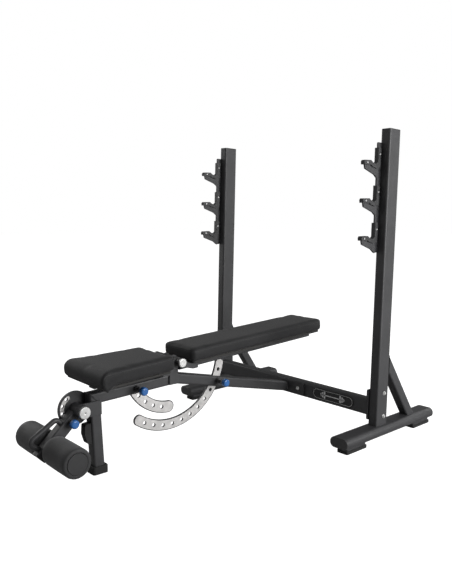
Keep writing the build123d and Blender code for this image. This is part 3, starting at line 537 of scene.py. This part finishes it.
seat_stitches = sew(seat_pad, "seat_stitches", seat_lines, 0.0016, 0.0006)
finish_pad(seat_pad, seat_stitches, 1.0, "seat_pad", "seat")

# The backrest: a plain 906 mm by 236 mm pad, 60 mm thick.
BACK_START, BACK_FINISH = 0.046, 0.948
BACK_TOP, BACK_UNDER = 0.052, -0.0045
BACK_HALF = 0.1165
back_outline = [(BACK_START, BACK_UNDER), (BACK_FINISH, BACK_UNDER), (BACK_FINISH, BACK_TOP),
                (BACK_START, BACK_TOP)]
back_pad = stuffed(pad_blank(back_outline, lambda y: BACK_HALF, 0.024, 0.010), "back_cushion", 3.0, 0.004)
rim = 0.024
plan = (arc_of((BACK_HALF - rim, BACK_START + rim), rim, -90, 0, 8)
        + arc_of((BACK_HALF - rim, BACK_FINISH - rim), rim, 0, 90, 8)
        + arc_of((-BACK_HALF + rim, BACK_FINISH - rim), rim, 90, 180, 8)
        + arc_of((-BACK_HALF + rim, BACK_START + rim), rim, 180, 270, 8))
plan = plan + plan[:1]
back_lines = [along_line([(x * 1.03, y, BACK_TOP - 0.011) for x, y in plan], 0.005)]
back_stitches = sew(back_pad, "back_stitches", back_lines, 0.0014, 0.0006)
finish_pad(back_pad, back_stitches, 2.6, "back_pad", "backrest")


# --- Foam rollers -------------------------------------------------------------
# Closed-cell foam sleeves with a smooth skin, slightly crowned, with rounded
# shoulders and a recess at the outer end for the plastic disc.
def foam_material():
    material = finish("roller_foam", (0.030, 0.030, 0.031), (0.05, 0.05, 0.05), 0.62, peel=1100.0,
                      bump=0.28, edge=0.002, specular=0.35)
    shader = material.node_tree.nodes["Principled BSDF"]
    shader.inputs["Sheen Weight"].default_value = 0.15
    return material


foam = foam_material()


def foam_sleeve(name, node, body):
    """Lathed sleeve along X, sized and placed by its CAD node."""
    low, high = (Vector(corner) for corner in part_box(node))
    centre = (low + high) / 2
    radius = (high.z - low.z) / 2
    half = (high.x - low.x) / 2
    outward = 1 if centre.x > 0 else -1
    bore, recess, depth, shoulder = 0.0127, 0.0432, 0.006, 0.009
    profile = [(-half, bore)]
    profile += [(-half + shoulder + shoulder * cos(a), radius - shoulder + shoulder * sin(a))
                for a in (pi, pi * 5 / 6, pi * 4 / 6, pi / 2)]
    profile += [(half * t, radius + 0.0006 * (1.0 - t * t)) for t in (-0.7, -0.35, 0.0, 0.35, 0.7)]
    profile += [(half - shoulder + shoulder * cos(a), radius - shoulder + shoulder * sin(a))
                for a in (pi / 2, pi / 3, pi / 6, 0.0)]
    profile += [(half, recess + 0.002), (half - 0.002, recess), (half - depth, recess), (half - depth, bore),
                (-half, bore)]
    mesh = bmesh.new()
    line = [mesh.verts.new((x * outward, r, 0.0)) for x, r in profile]
    edges = [mesh.edges.new(pair) for pair in zip(line, line[1:])]
    bmesh.ops.spin(mesh, geom=line + edges, cent=(0, 0, 0), axis=(1, 0, 0), angle=2 * pi, steps=72,
                   use_merge=True)
    bmesh.ops.remove_doubles(mesh, verts=mesh.verts, dist=0.00002)
    bmesh.ops.recalc_face_normals(mesh, faces=mesh.faces)
    bmesh.ops.translate(mesh, verts=mesh.verts, vec=centre)
    sleeve = mesh_piece(mesh, name, foam, smooth=radians(40))
    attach(sleeve, body)
    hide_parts(node)


def mesh_piece(mesh, name, material, smooth=0.0):
    """Turns a bmesh into an object with one material; edges above the angle stay sharp."""
    data = bpy.data.meshes.new(name)
    mesh.to_mesh(data)
    mesh.free()
    data.materials.append(material)
    if smooth:
        data.polygons.foreach_set("use_smooth", [True] * len(data.polygons))
        data.set_sharp_from_angle(angle=smooth)
    piece = bpy.data.objects.new(name, data)
    bpy.context.scene.collection.objects.link(piece)
    return piece


foam_sleeve("foam_sleeve_left", "roller_left", "roller_left")
foam_sleeve("foam_sleeve_right", "roller_right", "roller_right")


# --- Nameplate ----------------------------------------------------------------
# Pill-shaped domed plate stuck on the crossbar: black with a bright line around
# it and a plain barbell pictogram instead of any lettering.
plate_low, plate_high = (Vector(corner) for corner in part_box("badge"))
plate_centre = (plate_low + plate_high) / 2
plate_face = plate_low.y
plate_length = plate_high.x - plate_low.x
plate_height = plate_high.z - plate_low.z
plate_black = finish("nameplate_black", (0.006, 0.006, 0.006), (0.02, 0.02, 0.02), 0.3,
                     peel=1500.0, bump=0.03)
plate_silver = finish("nameplate_silver", (0.62, 0.62, 0.62), (0.8, 0.8, 0.8), 0.4, metallic=0.2,
                      peel=1500.0, bump=0.05)
dress(plate_black, "badge")


def pill(length, height, steps=16):
    """Outline of a pill in X and Z around the origin."""
    radius = height / 2
    right = arc_of((length / 2 - radius, 0.0), radius, -90, 90, steps)
    return right + arc_of((-length / 2 + radius, 0.0), radius, 90, 270, steps)


def flat_ring(mesh, outer, inner, y):
    """Flat band between two outlines, facing -Y."""
    loops = []
    for outline in (outer, inner):
        verts = [mesh.verts.new((x, y, z)) for x, z in outline]
        loops += [mesh.edges.new((a, b)) for a, b in zip(verts, verts[1:] + verts[:1])]
    bmesh.ops.bridge_loops(mesh, edges=loops)


def nameplate_marks():
    """Bright outline and barbell pictogram, 0.3 mm proud of the plate."""
    mesh = bmesh.new()
    flat_ring(mesh, pill(plate_length - 0.012, plate_height - 0.012),
              pill(plate_length - 0.0155, plate_height - 0.0155), 0.0)
    bars = [(0.0, 0.156, 0.0050)]
    for side in (-1, 1):
        bars += [(side * 0.050, 0.010, 0.038), (side * 0.0625, 0.008, 0.028), (side * 0.0725, 0.006, 0.016)]
    for x, width, height in bars:
        corner = min(width, height) * 0.3
        shape = [(x + sx * (width / 2 - corner * cx), sz * (height / 2 - corner * cz))
                 for sx, sz, cx, cz in ((1, -1, 1, 0), (1, -1, 0, 1), (1, 1, 0, 1), (1, 1, 1, 0),
                                        (-1, 1, 1, 0), (-1, 1, 0, 1), (-1, -1, 0, 1), (-1, -1, 1, 0))]
        mesh.faces.new([mesh.verts.new((px, 0.0, pz)) for px, pz in shape])
    raised = bmesh.ops.extrude_face_region(mesh, geom=list(mesh.faces))
    bmesh.ops.translate(mesh, verts=[v for v in raised["geom"] if isinstance(v, bmesh.types.BMVert)],
                        vec=(0.0, -0.0003, 0.0))
    bmesh.ops.recalc_face_normals(mesh, faces=mesh.faces)
    bmesh.ops.translate(mesh, verts=mesh.verts, vec=(plate_centre.x, plate_face, plate_centre.z))
    marks = mesh_piece(mesh, "nameplate_marks", plate_silver)
    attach(marks, "frame")


nameplate_marks()


# --- Weld beads ---------------------------------------------------------------
# MIG welds where tubes and plates meet, under the powder coat: a low bead of
# overlapping ripples that follows the joint.
weld_coat = finish("coated_weld", (0.030, 0.030, 0.032), (0.07, 0.07, 0.07), 0.5, peel=300.0, bump=0.3)


def weld_bead(name, corners, closed, size, body):
    """Rippled bead along a polyline through corners."""
    points = along_line(corners + corners[:1] if closed else corners, size * 0.9)
    mesh = bmesh.new()
    for index, point in enumerate(points[:-1] if closed else points):
        swell = size * (1.0 + 0.08 * sin(index * 1.7))
        bmesh.ops.create_icosphere(mesh, subdivisions=1, radius=swell, matrix=Matrix.Translation(point))
    bead = mesh_piece(mesh, name, weld_coat, smooth=radians(60))
    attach(bead, body)


def rectangle(x, y, z, half_x, half_y):
    return [(x - half_x, y - half_y, z), (x + half_x, y - half_y, z),
            (x + half_x, y + half_y, z), (x - half_x, y + half_y, z)]


TUBE_HALF = 0.0225           # half of the flat of a 50 mm tube
BEAD, FINE_BEAD, MITRE_BEAD = 0.0032, 0.0030, 0.0028
UPRIGHT_DEPTH = 0.086


def upright_welds(side_name, sign):
    """Beads round an upright's foot, a brace's two ends and an end of the crossbar."""
    tube_low, tube_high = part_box(f"upright_{side_name}")
    foot_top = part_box(f"foot_tube_{side_name}")[1][2]
    on_foot = foot_top + 0.0005
    tube_x = (tube_low[0] + tube_high[0]) / 2
    tube_y = (tube_low[1] + (tube_low[1] + UPRIGHT_DEPTH)) / 2
    weld_bead(f"weld_upright_{side_name}", rectangle(tube_x, tube_y, on_foot, TUBE_HALF, 0.0405),
              True, BEAD, "frame")
    strut_low, strut_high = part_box("braces")
    weld_bead(f"weld_brace_foot_{side_name}",
              rectangle(tube_x, strut_high[1] - 0.031, on_foot, TUBE_HALF, 0.028), True, BEAD, "frame")
    top, mouth = strut_high[2], 0.088
    lean_back = tan(radians(1.58))
    level = top - 0.003
    seam_y = strut_low[1] + lean_back * (level - top + mouth)
    weld_bead(f"weld_brace_top_{side_name}",
              [(tube_x - TUBE_HALF, seam_y, level), (tube_x + TUBE_HALF, seam_y, level)],
              False, BEAD, "frame")
    bar_low, bar_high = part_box("crossbar")
    joint_x = sign * bar_high[0]
    front, rear = bar_low[1] + 0.003, bar_high[1] - 0.003
    under, over = bar_low[2] + 0.006, bar_high[2] - 0.006
    weld_bead(f"weld_crossbar_{side_name}",
              [(joint_x, front, under), (joint_x, front, over),
               (joint_x, rear, over), (joint_x, rear, under)],
              True, FINE_BEAD, "frame")


def mitre_welds():
    """The post and the beam meet in a mitre, from the outer top corner to the inner one."""
    beam_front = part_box("main_beam")[0][1]
    post_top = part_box("front_post")[1][2]
    post_half, mitre_depth, mitre_run = 0.0255, 0.051, 0.050
    for side_name, sign in (("left", -1), ("right", 1)):
        weld_bead(f"weld_mitre_{side_name}",
                  [(sign * post_half, beam_front + 0.003, post_top - 0.003),
                   (sign * post_half, beam_front + mitre_run, post_top - mitre_depth)],
                  False, MITRE_BEAD, "frame")


def flange_weld():
    """Bead round the beam's end on its flange."""
    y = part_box("beam_flange")[0][1] - 0.001
    beam_half, under, over = 0.024, 0.142, 0.184
    weld_bead("weld_beam_flange",
              [(-beam_half, y, under), (-beam_half, y, over), (beam_half, y, over), (beam_half, y, under)],
              True, FINE_BEAD, "frame")


upright_welds("left", -1)
upright_welds("right", 1)
mitre_welds()
flange_weld()
